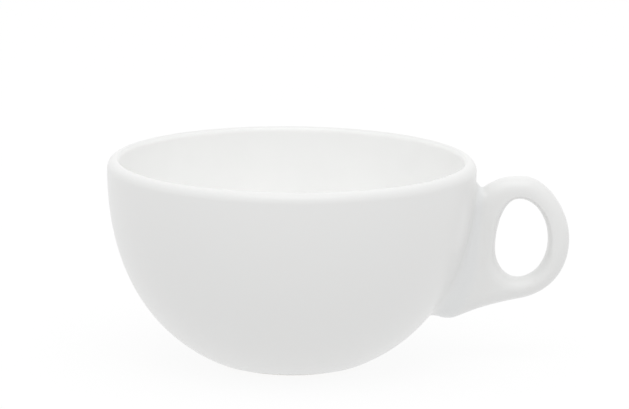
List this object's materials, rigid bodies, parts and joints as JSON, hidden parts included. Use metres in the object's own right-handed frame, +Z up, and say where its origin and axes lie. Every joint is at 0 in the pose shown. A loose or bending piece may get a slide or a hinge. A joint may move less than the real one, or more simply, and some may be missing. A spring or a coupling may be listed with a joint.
{
  "type": "cup",
  "caption": "Wide round-bottomed glazed ceramic cup with a rolled lip, a low bare foot ring and a ring handle with an oval finger hole and a webbed root",
  "frame": {"origin": "on the table under the middle of the whole cup's length, handle included", "axes": "+Z up along the bowl's axis, +X from the bowl towards the handle, +Y to the cup's side"},
  "size_m": [0.1318, 0.105, 0.0588],
  "materials": {
    "glaze": "smooth glossy white glaze",
    "biscuit": "bare fired white clay, fine matt grain"
  },
  "bodies": {
    "root": {"bowl": "biscuit", "foot_ring": "biscuit", "handle": "biscuit", "handle_seam": "biscuit", "outer_glaze": "glaze", "inner_glaze": "glaze", "base_glaze": "glaze", "handle_glaze": "glaze"}
  },
  "joints": []
}
